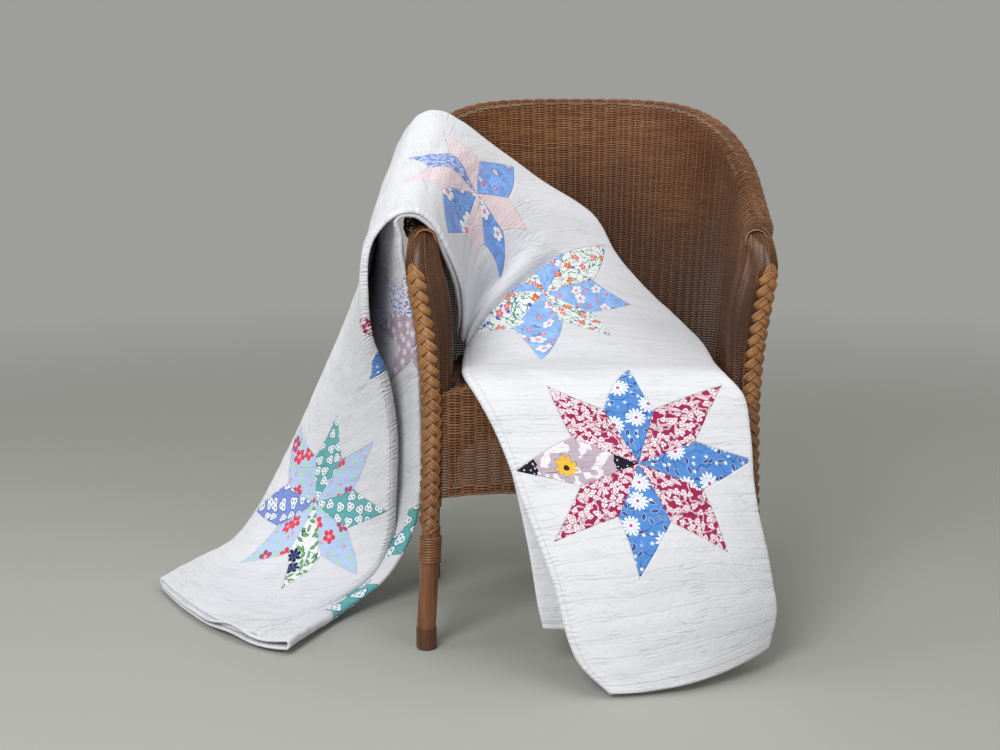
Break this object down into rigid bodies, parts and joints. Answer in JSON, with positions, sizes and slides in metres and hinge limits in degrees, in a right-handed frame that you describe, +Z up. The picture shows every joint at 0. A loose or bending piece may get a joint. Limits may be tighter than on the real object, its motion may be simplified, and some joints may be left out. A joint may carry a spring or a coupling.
{
  "type": "quilt draped over a wicker chair",
  "caption": "Hand-stitched patchwork star quilt, folded into a long strip and draped over the seat and arm of a woven-fibre tub chair.",
  "frame": {"origin": "centre of the footprint, at floor level", "axes": "+Z up, +X to the right as seen by someone facing the chair, +Y to the chair's back"},
  "size_m": [1.0438, 0.7272, 0.8503],
  "materials": {
    "cane": "brown-stained bent cane with a worn satin varnish",
    "dark_cane": "dark brown stained wood, satin",
    "weave": "brown-stained twisted fibre, woven, dull satin",
    "braid": "golden brown plaited fibre, satin",
    "beech": "plain wood, matte",
    "quilt_cloth": "washed white cotton with printed cotton patches, hand quilted, matte"
  },
  "bodies": {
    "chair": {"front_post_left": "cane", "front_post_right": "cane", "back_post_left": "cane", "back_post_right": "cane", "foot_cap_front_left": "dark_cane", "foot_cap_front_right": "dark_cane", "foot_cap_back_left": "dark_cane", "foot_cap_back_right": "dark_cane", "leg_binding_front_left": "braid", "leg_binding_front_right": "braid", "leg_binding_back_left": "braid", "leg_binding_back_right": "braid", "braid_left": "braid", "braid_right": "braid", "woven_tub": "weave", "rim_hoop": "beech", "rim_border": "dark_cane", "arm_roll_left": "weave", "arm_roll_right": "weave", "woven_seat": "weave", "seat_rail_back": "beech", "seat_rail_front": "beech", "seat_rail_left": "beech", "seat_rail_right": "beech", "seat_slat_left": "beech", "seat_slat_middle": "beech", "seat_slat_right": "beech", "seat_edge_roll": "braid", "front_apron": "weave", "apron_rail": "cane", "skirt_hoop": "cane"},
    "quilt": {"quilt": "quilt_cloth", "quilt_fold_side": "quilt_cloth", "quilt_fold_front": "quilt_cloth"}
  },
  "joints": [
    {"name": "quilt_lift", "type": "slide", "parent": "chair", "child": "quilt", "axis": [0, 0, 1], "range_m": [0, 0.9]}
  ]
}
